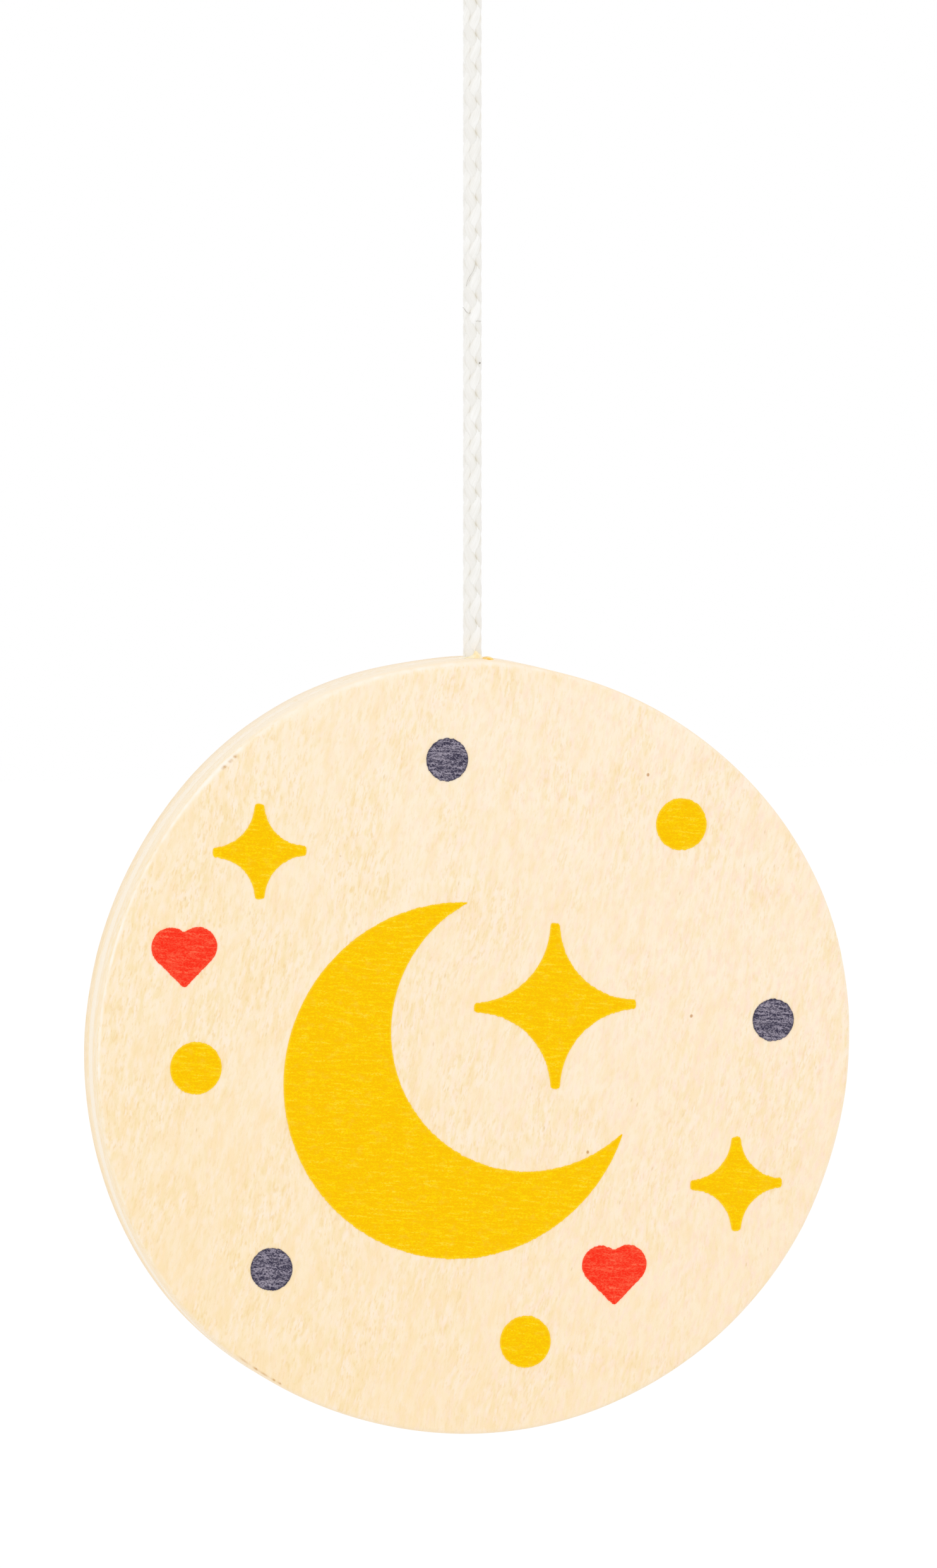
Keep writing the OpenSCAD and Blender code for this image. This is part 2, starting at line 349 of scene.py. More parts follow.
class Paint:
    """The nodes of a material or the world. Most methods give back the socket with their result."""

    def __init__(self, block):
        self.block = block
        block.use_nodes = True
        self.tree = block.node_tree
        self.tree.nodes.clear()

    def add(self, kind, inputs, **settings):
        node = self.tree.nodes.new("ShaderNode" + kind)
        for key, value in settings.items():
            setattr(node, key, value)
        for key, value in inputs.items():
            if isinstance(value, bpy.types.NodeSocket):
                self.tree.links.new(value, node.inputs[key])
            else:
                node.inputs[key].default_value = value
        return node

    def place(self, turn=(0, 0, 0)):
        """Where a point of the piece is, in millimetres, in turned axes."""
        where = self.add("TexCoord", {}).outputs["Object"]
        return self.add("Mapping", {"Vector": where, "Rotation": turn, "Scale": (PER_MM,) * 3}).outputs[0]

    def read(self, name, output="Fac"):
        """What the piece's points carry under a name."""
        return self.add("Attribute", {}, attribute_name=name).outputs[output]

    def reckon(self, operation, *values):
        return self.add("Math", dict(enumerate(values)), operation=operation).outputs[0]

    def sum(self, total, *values):
        for value in values:
            total = self.reckon("ADD", total, value)
        return total

    def times(self, product, *values):
        for value in values:
            product = self.reckon("MULTIPLY", product, value)
        return product

    def apart(self, value, middle):
        """How far a value is from a middle one."""
        return self.reckon("ABSOLUTE", self.reckon("SUBTRACT", value, middle))

    def stretch(self, vector, scale):
        return self.add("VectorMath", {0: vector, 1: scale}, operation="MULTIPLY").outputs[0]

    def part(self, vector, axis):
        return self.add("SeparateXYZ", {0: vector}).outputs[axis]

    def wander(self, vector, rate, reach):
        """The vector, moved sideways by slow noise, so that straight lines along it bend a little."""
        slow = self.noise(vector, (rate, rate, rate), 1)
        aside = self.add("CombineXYZ", {0: self.times(slow, reach)}).outputs[0]
        return self.add("VectorMath", {0: vector, 1: aside}, operation="ADD").outputs[0]

    def noise(self, vector, scale, detail=2.0, roughness=0.5):
        """Noise with a rate of its own along each axis of the vector."""
        rated = self.stretch(vector, scale)
        inputs = {"Vector": rated, "Scale": 1.0, "Detail": detail, "Roughness": roughness}
        return self.add("TexNoise", inputs).outputs[0]

    def cells(self, vector, scale):
        """Distance to the middle of a random cell, and a number of that cell's own."""
        node = self.add("TexVoronoi", {"Vector": self.stretch(vector, scale), "Scale": 1.0})
        return node.outputs["Distance"], self.part(node.outputs["Color"], 0)

    def span(self, value, low, high, to_low=0.0, to_high=1.0):
        """A value between a low and a high one, as a soft step between two others."""
        inputs = {0: value, 1: low, 2: high, 3: to_low, 4: to_high}
        return self.add("MapRange", inputs, interpolation_type="SMOOTHSTEP").outputs[0]

    def mix(self, share, first, second):
        node = self.add("Mix", {0: share, 6: first, 7: second}, data_type="RGBA")
        return node.outputs[2]

    def bump(self, height, distance):
        return self.add("Bump", {"Height": height, "Distance": distance, "Strength": 1.0}).outputs[0]

    def finish(self, **inputs):
        """Ends the tree in one shader. Names are the shader's own, with _ for a space."""
        shader = self.add("BsdfPrincipled", {key.replace("_", " "): value for key, value in inputs.items()})
        self.add("OutputMaterial", {"Surface": shader.outputs[0]})
        return self.block

    def seen(self):
        """1 for what the camera sees, straight or in gloss or glass, and 0 for what lights the part."""
        path = self.add("LightPath", {}).outputs
        in_front = self.reckon("MAXIMUM", path["Is Camera Ray"], path["Is Glossy Ray"])
        return self.reckon("MAXIMUM", in_front, path["Is Transmission Ray"])


def new_paint(name):
    return Paint(bpy.data.materials.new(name))


def grain_direction(lean):
    """Direction of fibres that lean to the right from upright."""
    return (math.sin(lean), 0, math.cos(lean))


# Materials

WARM_LEAN = math.radians(-30)  # the veneer is warmer towards its lower left
WARM_MIDDLE = DISC_Z * math.cos(WARM_LEAN) * PER_MM
WARM_REACH = 1.3 * DISC_R * PER_MM
FIBRE_DARK = srgb(250, 226, 176)
FIBRE_LIGHT = srgb(255, 241, 226)
DASH = srgb(245, 213, 156)
PORE = srgb(222, 186, 126)
SPECK = srgb(190, 126, 52)
# painted highlight on the sanded edges, also mixed in as painted light on the rim
PAINTED_LIGHT_TONE = srgb(255, 248, 234)
PINK = srgb(255, 228, 204)
# stain in the dents of the front edge, also used as painted shade on the back edge
STAIN_AND_SHADE = srgb(200, 143, 56)


def broad_figure(paint, along, pale, warm):
    """The veneer's larger colours: clouds, warm and pink patches, and more warmth at its lower left."""
    clouds = paint.span(paint.noise(along, (0.07, 0.07, 0.05), 3), 0.35, 0.65, 0, 0.1)
    patches = paint.span(paint.noise(along, (0.95, 0.95, 0.32), 3), 0.42, 0.72, 0, 0.56)
    height = paint.part(paint.place((0, WARM_LEAN, 0)), 2)
    low = paint.span(height, WARM_MIDDLE - WARM_REACH, WARM_MIDDLE + WARM_REACH, 0.64, 0.02)
    color = paint.mix(paint.sum(clouds, low, patches), pale, warm)
    pink = paint.span(paint.noise(along, (2.1, 2.1, 0.9), 3, 0.6), 0.42, 0.75, 0.05, 0.36)
    pinker = paint.span(paint.part(paint.place(), 0), *ACROSS_DISC, 0.6, 3)
    return paint.mix(paint.times(pink, pinker), color, PINK)


def fibre_figure(paint, along, fibres, color):
    """Dark and light fibres and dark dashes along the grain, fainter to the right and in patches."""
    fading = paint.span(paint.part(paint.place(), 0), *ACROSS_DISC, 1, 0.75)
    busy = paint.span(paint.noise(along, (0.24, 0.24, 0.13)), 0.38, 0.62, 0.5, 1.15)
    clear = paint.times(fading, busy)
    color = paint.mix(paint.times(paint.span(fibres, 0.48, 0.73, 0, 0.68), clear), color, FIBRE_DARK)
    color = paint.mix(paint.times(paint.span(fibres, 0.3, 0.47, 0.4, 0), clear), color, FIBRE_LIGHT)
    dashes = paint.noise(along, (6.2, 6.2, 1.8))
    return paint.mix(paint.times(paint.span(dashes, 0.5, 0.75, 0, 0.62), clear), color, DASH)


def pore_marks(paint, along):
    """1 in the middle of a pore, a short slit along the grain, and 0 beside it."""
    away, kind = paint.cells(along, (1.9, 1.9, 0.6))
    return paint.times(paint.span(away, 0.03, 0.17, 1, 0), paint.span(kind, 0.88, 0.94))


def speck_marks(paint, along):
    """1 in one of the few dark specks, and 0 beside it."""
    away, kind = paint.cells(along, (0.16, 0.16, 0.14))
    return paint.times(paint.span(away, 0.012, 0.028, 1, 0), paint.span(kind, 0.6, 0.62))


def end_grain(paint, lean):
    """1 where the surface cuts the fibres across, and 0 where it runs along them."""
    facing = paint.add("TexCoord", {}).outputs["Normal"]
    inputs = {0: facing, 1: grain_direction(lean)}
    along = paint.add("VectorMath", inputs, operation="DOT_PRODUCT").outputs["Value"]
    return paint.span(paint.reckon("ABSOLUTE", along), 0.45, 0.95)


def wood(name, lean, pale, warm, end_tone):
    """Sanded veneer with a leaning grain. The piece's points carry painted light on its edges and rim, stains
    in its dents, and painted shade on its back edge.
    """
    paint = new_paint(name)
    along = paint.wander(paint.place((0, -lean, 0)), *GRAIN_WANDER)
    fibres = paint.noise(along, (3.2, 3.2, 1.0), 1)
    pores = pore_marks(paint, along)
    color = broad_figure(paint, along, pale, warm)
    color = fibre_figure(paint, along, fibres, color)
    color = paint.mix(paint.times(pores, 0.45), color, PORE)
    color = paint.mix(paint.times(speck_marks(paint, along), 0.7), color, SPECK)
    color = paint.mix(paint.times(end_grain(paint, lean), 0.8), color, end_tone)
    # painted highlight on the edges and painted light on the rim
    color = paint.mix(paint.read("worn"), color, PAINTED_LIGHT_TONE)
    # stains in the front edge's dents, and painted shade on the back edge
    color = paint.mix(paint.read("stain"), color, STAIN_AND_SHADE)
    relief = paint.sum(fibres, paint.times(pores, -0.6))
    return paint.finish(
        Base_Color=color, Roughness=paint.span(fibres, 0.3, 0.7, 0.55, 0.7),
        Normal=paint.bump(relief, 0.02 * MM), Specular_IOR_Level=0.15,
    )


def ply_glue():
    """Cured glue between two plies, with the colour of wood dust in it."""
    paint = new_paint("ply_glue")
    powder = paint.noise(paint.place(), (1.5, 1.5, 1.5), 3)
    color = paint.mix(powder, srgb(248, 228, 198), srgb(254, 239, 214))
    rough = paint.span(powder, 0.3, 0.7, 0.5, 0.7)
    return paint.finish(Base_Color=color, Roughness=rough, Specular_IOR_Level=0.3)


def clear_glue(name, deep, thin):
    """Clear glue, deeper in colour where it is thick."""
    paint = new_paint(name)
    clouds = paint.noise(paint.place(), (2.2, 2.2, 2.2))
    color = paint.mix(paint.span(clouds, 0.35, 0.65), deep, thin)
    height = paint.noise(paint.place(), (5, 5, 5))
    return paint.finish(
        Base_Color=color, Roughness=paint.span(clouds, 0.3, 0.7, 0.18, 0.32), Coat_Weight=0.3,
        Normal=paint.bump(height, 0.04 * MM), Subsurface_Weight=0.15, Subsurface_Radius=(0.4 * MM,) * 3,
    )


def ink(name, deep, light, bare, edge):
    """Ink on bare wood, in winding threads and rows, thin in some places, with an edge of its own."""
    paint = new_paint(name)
    across = paint.place((0, PRINT_LEAN, 0))
    threads = paint.span(paint.apart(paint.noise(across, (3.4, 3.4, 6.0)), 0.5), 0, 0.12, 1, 0)
    rows = paint.noise(across, (0.6, 3, 4.6), 1)
    fine = paint.noise(across, (9, 9, 11), 1)
    coarse = paint.sum(paint.times(threads, 0.42), paint.span(rows, 0.38, 0.64, 0, 0.26))
    grit = paint.sum(coarse, paint.times(fine, 0.4))
    # threads and rows take a paler tone, which on the navy ink is painted sheen
    color = paint.mix(paint.span(grit, 0.25, 0.95), deep, light)
    thin_rows = paint.times(paint.span(rows, 0.58, 0.72, 0, 0.3), threads)
    patches = paint.noise(across, (1.1, 1.1, 1.5), 3, 0.6)
    thin_patches = paint.span(patches, 0.52, 0.8, 0, 0.17)
    color = paint.mix(paint.sum(thin_rows, thin_patches), color, bare)
    color = paint.mix(paint.times(paint.read("edge"), 0.7), color, edge)
    return paint.finish(
        Base_Color=color, Roughness=paint.span(grit, 0.25, 0.95, 0.6, 0.75),
        Normal=paint.bump(grit, 0.02 * MM), Specular_IOR_Level=0.04,
    )


def cord_yarn():
    """White yarn with filaments along its strands, painted sheen on the strands that turn one way, painted
    shade in its seams, and less of both at the left.
    """
    paint = new_paint("cord_yarn")
    strand = paint.read("strand", "Vector")
    filaments = paint.noise(strand, (0.6, 9, 1), 3, 0.65)
    clouds = paint.noise(strand, (0.3, 0.4, 1))
    # the painted sheen and the seams' painted shade fade towards the cord's left side
    painted_light_share = paint.span(paint.part(paint.place(), 0), -0.6, 0.15, 0.35, 1)
    # painted sheen: the strands that turn one way are lighter
    painted_sheen = paint.times(paint.span(paint.part(strand, 2), -1, 1, -0.08, 0.08), painted_light_share)
    tone = paint.sum(paint.times(filaments, 0.45), paint.times(clouds, 0.45), painted_sheen)
    color = paint.mix(paint.span(tone, 0.35, 0.7), srgb(242, 240, 235), srgb(255, 254, 251))
    patchy = paint.span(paint.noise(paint.place(), (0.9, 0.9, 0.5), 1), 0.35, 0.65, 0.45, 0.95)
    # painted shade in the seams between strands, patchy, and fainter at the left
    seam = paint.times(paint.read("seam"), patchy, painted_light_share)
    color = paint.mix(seam, color, srgb(228, 222, 206))
    return paint.finish(
        Base_Color=color, Roughness=paint.span(filaments, 0.3, 0.7, 0.55, 0.7), Specular_IOR_Level=0.15,
        Normal=paint.bump(filaments, 0.015 * MM), Sheen_Weight=0.1, Subsurface_Weight=0.2,
        Subsurface_Radius=(0.4 * MM,) * 3,
    )


def melted_cord():
    """The cord's heat-sealed tip."""
    paint = new_paint("melted_cord")
    flow = paint.noise(paint.place(), (3, 3, 3))
    color = paint.mix(flow, srgb(214, 205, 180), srgb(243, 238, 224))
    return paint.finish(Base_Color=color, Roughness=paint.span(flow, 0.3, 0.7, 0.2, 0.4), Coat_Weight=0.2)


def dust():
    """Grey dust fibres caught on the cord."""
    paint = new_paint("dust")
    grey = paint.noise(paint.place(), (4, 4, 4), 1)
    color = paint.mix(grey, srgb(128, 122, 112), srgb(186, 178, 162))
    return paint.finish(Base_Color=color, Roughness=0.8)


def brass():
    """Bright brass wire with fine drawing lines and a little tarnish."""
    paint = new_paint("brass")
    where = paint.place()
    tarnish = paint.span(paint.noise(where, (0.7, 0.7, 0.7), 4, 0.6), 0.35, 0.75)
    drawn = paint.noise(where, (9, 9, 1.2), 2, 0.6)
    color = paint.mix(tarnish, srgb(231, 197, 118), srgb(196, 155, 82))
    rough = paint.sum(paint.times(tarnish, 0.14), paint.span(drawn, 0.3, 0.7, 0.16, 0.24))
    return paint.finish(Base_Color=color, Roughness=rough, Metallic=1.0, Normal=paint.bump(drawn, 0.006 * MM))


WOOD_FACE = wood(
    "wood_face", GRAIN_LEAN,
    pale=srgb(255, 242, 218), warm=srgb(254, 229, 186), end_tone=srgb(254, 231, 198),
)
WOOD_CORE = wood(
    "wood_core", math.radians(90),
    pale=srgb(255, 247, 233), warm=srgb(254, 241, 218), end_tone=srgb(254, 242, 223),
)
PLY_GLUE = ply_glue()
HOLE_GLUE = clear_glue("hole_glue", deep=srgb(255, 234, 184), thin=srgb(255, 242, 208))
AMBER_GLUE = clear_glue("amber_glue", deep=srgb(250, 192, 74), thin=srgb(255, 220, 120))
INK_YELLOW = ink(
    "ink_yellow",
    deep=srgb(252, 193, 0), light=srgb(255, 215, 2), bare=srgb(255, 222, 85), edge=srgb(255, 218, 60),
)
# the navy ink's paler tone is painted sheen
INK_NAVY = ink(
    "ink_navy",
    deep=srgb(61, 57, 76), light=srgb(162, 154, 169), bare=srgb(168, 160, 168), edge=srgb(66, 62, 80),
)
INK_RED = ink(
    "ink_red",
    deep=srgb(252, 48, 26), light=srgb(255, 92, 62), bare=srgb(255, 150, 110), edge=srgb(255, 84, 50),
)
CORD_YARN = cord_yarn()
MELTED_CORD = melted_cord()
DUST = dust()
BRASS = brass()

YELLOW_PRINTS = ("moon_print", "large_twinkle_print", "small_twinkle_prints", "yellow_dot_prints")


# Disc

def angle_from(angle, at):
    """How far angles are from another one, the short way round."""
    return (angle - at + math.pi) % (2 * math.pi) - math.pi


def swell(angle, at, half_width):
    """1 at one angle, fading to 0 on both sides of it."""
    return np.exp(-((angle_from(angle, at) / half_width) ** 2) / 2)


def leaning(angle, at, focus):
    """1 at one angle and 0 on the opposite side, falling faster with a higher focus."""
    return (0.5 + 0.5 * np.cos(angle - at)) ** focus


def waves(angle, seed, rate):
    """Values from about -1 to 1 that wander round the disc."""
    turns = [(rate * math.cos(a), rate * math.sin(a)) for a in angle]
    return np.array([noise.noise(Vector((c, s, seed))) for c, s in turns])


def rim_radius(angle):
    """Radius of the disc's outline at an angle, counted from the right and up."""
    lobes = sum(height * np.cos(count * (angle - crest)) for count, height, crest in OUTLINE_LOBES)
    return DISC_R + lobes + CROWN_RISE * swell(angle, *CROWN)


def round_body(name, rows, material):
    """A closed round body from rows of (radius, y, painted light, stain and painted shade), from one face
    over the rim to the other.
    """
    angle = full_turn(SEGMENTS)
    rows = [np.broadcast_arrays(angle, *row)[1:] for row in rows]
    rings = [np.stack([r * np.cos(angle), y, DISC_Z + r * np.sin(angle)], 1) for r, y, _, _ in rows]
    middles = [(0, rows[0][1][0], DISC_Z), (0, rows[-1][1][0], DISC_Z)]
    points = np.vstack([*rings, middles])
    faces = wall_faces(len(rows), SEGMENTS)
    last = (len(rows) - 1) * SEGMENTS
    for middle, start in ((len(points) - 2, 0), (len(points) - 1, last)):
        faces += [[middle, start + s, start + (s + 1) % SEGMENTS] for s in range(SEGMENTS)]
    piece = add_piece(name, points, faces, material)
    for mark, column in (("worn", 2), ("stain", 3)):
        set_values(piece, mark, np.concatenate([*[row[column] for row in rows], [0, 0]]))
    return piece


def nicks(angle, turn):
    """How deep and dark the front edge is dented, from 0 to 1, at one turn of its rounding."""
    marks = np.zeros(len(angle))
    for at, half_length, darkness in NICKS:
        away = angle_from(angle, math.radians(at)) * DISC_R
        marks += darkness * np.exp(-((away / (half_length * MM)) ** 2))
    line, half_width = NICK_LINE
    return np.clip(marks, 0, 1) * math.exp(-(((turn - line) / half_width) ** 2))


def front_ease(angle):
    """Radius of the front edge's rounding, which also takes up the rise at the top."""
    uneven = EDGE_UNEVEN * waves(angle, FRONT_SEED, SLOW_WAVES)
    rounder = 1 + uneven + SOFT_ROUNDER * swell(angle, *SOFT_EDGE)
    return EDGE_R * rounder + CROWN_RISE * swell(angle, *CROWN)


def back_ease(angle):
    """Radius of the back edge's rounding."""
    return EDGE_R * (1 + EDGE_UNEVEN * waves(angle, BACK_SEED, SLOW_WAVES))


def edge_highlight(angle):
    """Painted highlight on the middle of an edge's rounding, in patches and most on one side."""
    slow = waves(angle, HIGHLIGHT_SEEDS[0], SLOW_WAVES)
    quick = waves(angle, HIGHLIGHT_SEEDS[1], QUICK_WAVES)
    return (HIGHLIGHT_MEAN + HIGHLIGHT_VARIES * slow + HIGHLIGHT_VARIES * quick) * leaning(angle, HIGHLIGHT_AT, HIGHLIGHT_FOCUS)


def outer_ply(node, name, sanded_front):
    """A face ply: flat outside with its edge sanded round, square where it is glued to the core."""
    low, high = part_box(node)
    face_y, joint_y = (low.y, high.y) if sanded_front else (high.y, low.y)
    inward = math.copysign(1, joint_y - face_y)
    angle = full_turn(SEGMENTS)
    rim = rim_radius(angle)
    ease = front_ease(angle) if sanded_front else back_ease(angle)
    # painted light that makes the rim paler, most where the disc is sanded more
    rim_painted_light = RIM_PAINTED_LIGHT * (1 + SOFT_PALER * swell(angle, *SOFT_EDGE))
    edge_highlight_share = edge_highlight(angle)
    rows = [((rim - ease) * share, face_y, 0, 0) for share in FACE_RINGS]
    for step in range(EDGE_STEPS + 1):
        turn = step / EDGE_STEPS * math.pi / 2
        # stained dents on the front edge, painted shade on the back edge
        mark = nicks(angle, turn) if sanded_front else BACK_EDGE_SHADE
        radius = rim - ease * (1 - math.sin(turn)) - NICK_DEPTH * mark
        # painted highlight on the middle of the rounding, over painted light that grows towards the rim
        worn = np.clip(edge_highlight_share * math.sin(2 * turn) ** HIGHLIGHT_LINE, rim_painted_light * step / EDGE_STEPS, 1)
        rows.append((radius, face_y + inward * ease * (1 - math.cos(turn)), worn, mark))
    rows.append((rim, joint_y - inward * GROOVE_SLOPE, rim_painted_light, 0))
    rows.append((rim - GROOVE, joint_y, rim_painted_light, 0))
    rows += [((rim - ease) * share, joint_y, 0, 0) for share in reversed(FACE_RINGS)]
    return round_body(name, rows, WOOD_FACE)


def inner_layer(node, name, material, groove):
    """The core or a glue line: square all round, lower by the groove beside its neighbours."""
    low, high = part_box(node)
    rim = rim_radius(full_turn(SEGMENTS))
    rows = [(rim * share, low.y, 0, 0) for share in FACE_RINGS]
    rows += [(rim - groove, low.y, 0, 0), (rim, low.y + GROOVE_SLOPE, 0, 0)]
    rows += [(rim, high.y - GROOVE_SLOPE, 0, 0), (rim - groove, high.y, 0, 0)]
    rows += [(rim * share, high.y, 0, 0) for share in reversed(FACE_RINGS)]
    return round_body(name, rows, material)


def drill(pieces):
    """Cuts the cord's hole into the top edge of each piece that it meets."""
    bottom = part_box("hole_glue")[0].z
    line = np.array([(0, 0, bottom), (0, 0, MOUTH_Z + HOLE_R)])
    bit = add_piece("drill_bit", *sweep(line, (1, 0, 0), HOLE_R, HOLE_SIDES))
    for piece in pieces:
        cut = piece.modifiers.new("hole", "BOOLEAN")
        cut.operation = "DIFFERENCE"
        cut.solver = "EXACT"
        cut.object = bit
        done = piece.evaluated_get(bpy.context.evaluated_depsgraph_get())
        drilled = bpy.data.meshes.new_from_object(done)
        piece.modifiers.clear()
        piece.data = drilled
        shade(piece)
    bpy.data.objects.remove(bit)


def build_plies():
    """The three plies and the two glue lines between them, drilled for the cord."""
    made = {
        "front_ply": outer_ply("front_ply", "sanded_front_ply", True),
        "front_glue_line": inner_layer("front_glue_line", "front_glue_film", PLY_GLUE, 0),
        "core_ply": inner_layer("core_ply", "sanded_core_ply", WOOD_CORE, GROOVE),
        "back_glue_line": inner_layer("back_glue_line", "back_glue_film", PLY_GLUE, 0),
        "back_ply": outer_ply("back_ply", "sanded_back_ply", False),
    }
    drill(made.values())
    for node, piece in made.items():
        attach(piece, "disc")
        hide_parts(node)


def rim_top(across, y=0):
    """Height of the disc's top edge at a distance to the right of the cord and behind it."""
    angle = np.arccos(np.asarray(across) / DISC_R)
    ease = front_ease(angle)
    turn = np.arccos(np.clip(1 - (y - FACE_Y) / ease, 0, 1))
    return DISC_Z + (rim_radius(angle) - ease * (1 - np.sin(turn))) * np.sin(angle)


def turned_ring(rows):
    """A closed ring round the cord from rows of (radius, z), with one value for each angle."""
    angle = full_turn(GLUE_SIDES)
    rings = [np.stack([r * np.cos(angle), r * np.sin(angle), z], 1) for r, z in rows]
    faces = wall_faces(len(rows) + 1, GLUE_SIDES)
    count = len(rows) * GLUE_SIDES
    return np.vstack(rings), [[i % count for i in face] for face in faces]


def build_hole_glue():
    """Glue that fills the hole round the cord's tail and climbs the cord, most at its right front."""
    angle = full_turn(GLUE_SIDES)
    height = GLUE_LOW + (HUMP_HEIGHT - GLUE_LOW) * leaning(angle, HUMP_ANGLE, HUMP_FOCUS)
    bottom = np.full(GLUE_SIDES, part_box("hole_glue")[0].z)
    bore = np.full(GLUE_SIDES, CORD_R - GLUE_BITE)
    wall = np.full(GLUE_SIDES, HOLE_R - GLUE_GAP)
    rows = [(bore, bottom)]
    for share in np.linspace(0, 1, FILLET_STEPS):
        radius = bore + (HOLE_R - bore) * share
        rows.append((radius, rim_top(radius * np.cos(angle)) + height * (1 - share) ** FILLET_CURVE))
    rows.append((wall, rim_top(wall * np.cos(angle)) - 2 * GLUE_BITE))
    rows.append((wall, bottom))
    piece = add_piece("hole_glue_fill", *turned_ring(rows), HOLE_GLUE)
    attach(piece, "disc")
    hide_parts("hole_glue")


def build_glue_drop():
    """A drop of glue that ran out beside the cord and set on the disc's top edge."""
    angle = full_turn(GLUE_SIDES)
    uneven = 1 + sum(height * np.cos(lobes * angle + shift) for lobes, height, shift in DROP_LOBES)
    rings = []
    for turn in np.linspace(0, math.pi / 2, FILLET_STEPS)[:-1]:
        x = DROP_PLACE[0] + DROP_SIZE[0] * uneven * math.cos(turn) * np.cos(angle)
        y = DROP_PLACE[1] + DROP_SIZE[1] * uneven * math.cos(turn) * np.sin(angle)
        rings.append(np.stack([x, y, rim_top(x, y) + DROP_SIZE[2] * math.sin(turn) - GLUE_GAP], 1))
    piece = add_piece("glue_drop", np.vstack(rings), tube_faces(len(rings), GLUE_SIDES), AMBER_GLUE)
    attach(piece, "disc")


# Print

def outline_loops(node):
    """Outlines of the front of a print's solids, as rows of points."""
    mesh = frame["nodes"][node].data
    corner = [tuple(round(value / WELD) for value in vertex.co) for vertex in mesh.vertices]
    edges = set()
    for face in mesh.polygons:
        if face.normal.y < FRONT_FACING:
            ring = [corner[v] for v in face.vertices]
            edges.update(zip(ring, ring[1:] + ring[:1]))
    ahead = {a: b for a, b in edges if (b, a) not in edges}
    loops = []
    for start in sorted(ahead):
        loop = []
        here = start
        while here in ahead:
            loop.append(here)
            here = ahead.pop(here)
        if loop:
            loops.append(np.array(loop) * WELD)
    return loops


def rounded_loop(loop):
    """The outline with evenly spaced points and rounded corners."""
    closed = np.vstack([loop, loop[:1]])
    run = np.concatenate([[0], np.cumsum(np.linalg.norm(np.diff(closed, axis=0), axis=1))])
    places = np.linspace(0, run[-1], round(run[-1] / RAG_STEP), endpoint=False)
    even = np.stack([np.interp(places, run, closed[:, k]) for k in range(3)], 1)
    for _ in range(ROUNDING):
        even = (np.roll(even, 1, 0) + 2 * even + np.roll(even, -1, 0)) / 4
    return even


def ragged_edge(loop):
    """The outline with its points moved along the grain, as ink creeps into the fibres."""
    places = [Vector(point / RAG_SIZE) for point in loop]
    creep = np.array([noise.noise(place) + noise.noise(place / 3) for place in places])
    return loop + RAG_REACH * creep[:, None] * np.array(grain_direction(GRAIN_LEAN))


def inset(loop):
    """The outline moved inwards by the width of the ink's edge, or by half the room if that is less."""
    ahead = unit(np.roll(loop, -1, 0) - np.roll(loop, 1, 0))
    left = np.stack([-ahead[:, 2], ahead[:, 1], ahead[:, 0]], 1)
    x, z = loop[:, 0], loop[:, 2]
    inward = left * math.copysign(1, np.sum(x * np.roll(z, -1) - z * np.roll(x, -1)))
    across = loop[None] - loop[:, None]
    depth = np.sum(across * inward[:, None], 2)
    room = np.sum(across ** 2, 2) / np.maximum(2 * depth, WELD ** 2)
    room = np.min(np.where(depth > WELD, room, np.inf), 1)
    return loop + inward * np.minimum(INK_EDGE, room / 2)[:, None]


def build_print(node, material):
    """One ink layer, as thin solids on the front face."""
    ink_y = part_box(node)[0].y
    parts, edges = [], []
    for loop in outline_loops(node):
        smooth = rounded_loop(loop)
        smooth[:, 1] = ink_y
        front = ragged_edge(smooth)
        back = front.copy()
        back[:, 1] = FACE_Y
        parts.append((np.vstack([back, front, inset(smooth)]), tube_faces(3, len(front))))
        edges.append(np.repeat((1, 1, 0), len(front)))
    piece = add_piece(node + "_ink", *merge(parts), material)
    set_values(piece, "edge", np.concatenate(edges))
    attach(piece, "disc")
    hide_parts(node)


# Cord

def route(points):
    """Places in the frame of route points in millimetres from the middle of the eye's wire."""
    return np.asarray(points, float) * MM + (0, 0, WIRE_Z)


def upright(top, bottom):
    """Points of a straight length of cord, from its top down."""
    count = round((top - bottom) / BRAID_STEP) + 1
    return np.stack([np.zeros(count), np.zeros(count), np.linspace(top, bottom, count)], 1)


